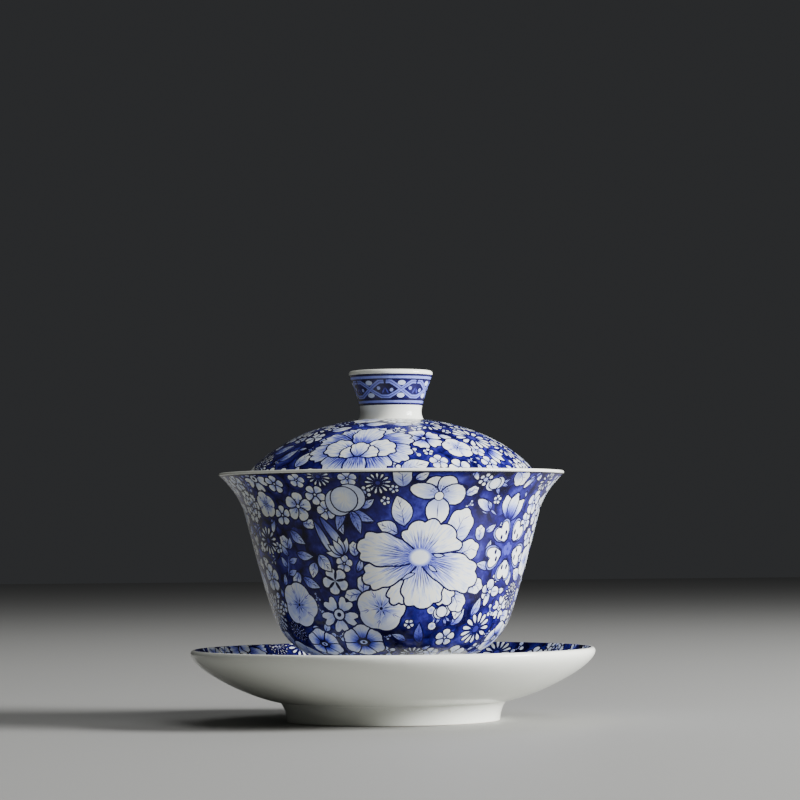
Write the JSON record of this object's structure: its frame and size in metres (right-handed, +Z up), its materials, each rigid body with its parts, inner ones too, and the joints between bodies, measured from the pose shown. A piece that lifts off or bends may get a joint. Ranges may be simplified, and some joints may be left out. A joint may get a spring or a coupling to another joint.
{
  "type": "gaiwan",
  "caption": "Lidded tea bowl with a flared rim on a footed saucer, under a domed lid with an open ring knob, in blue painted porcelain.",
  "frame": {"origin": "centre of the saucer's foot, on the surface that the gaiwan stands on", "axes": "+Z up along the common axis of saucer, bowl and lid; +X to the viewer's right and -Y towards the viewer"},
  "size_m": [0.111, 0.111, 0.0961],
  "materials": {
    "white_porcelain": "clear gloss glaze over white porcelain, underglaze blue on the dish",
    "painted_porcelain": "clear gloss glaze over underglaze cobalt blue flowers on white porcelain"
  },
  "bodies": {
    "saucer": {"saucer": "white_porcelain"},
    "bowl": {"bowl": "painted_porcelain"},
    "lid": {"lid_dome": "painted_porcelain", "lid_knob": "painted_porcelain"}
  },
  "joints": [
    {"name": "bowl_lift", "type": "slide", "parent": "saucer", "child": "bowl", "axis": [0, 0, 1], "range_m": [0, 0.04]},
    {"name": "lid_lift", "type": "slide", "parent": "bowl", "child": "lid", "axis": [0, 0, 1], "range_m": [0, 0.06]}
  ]
}
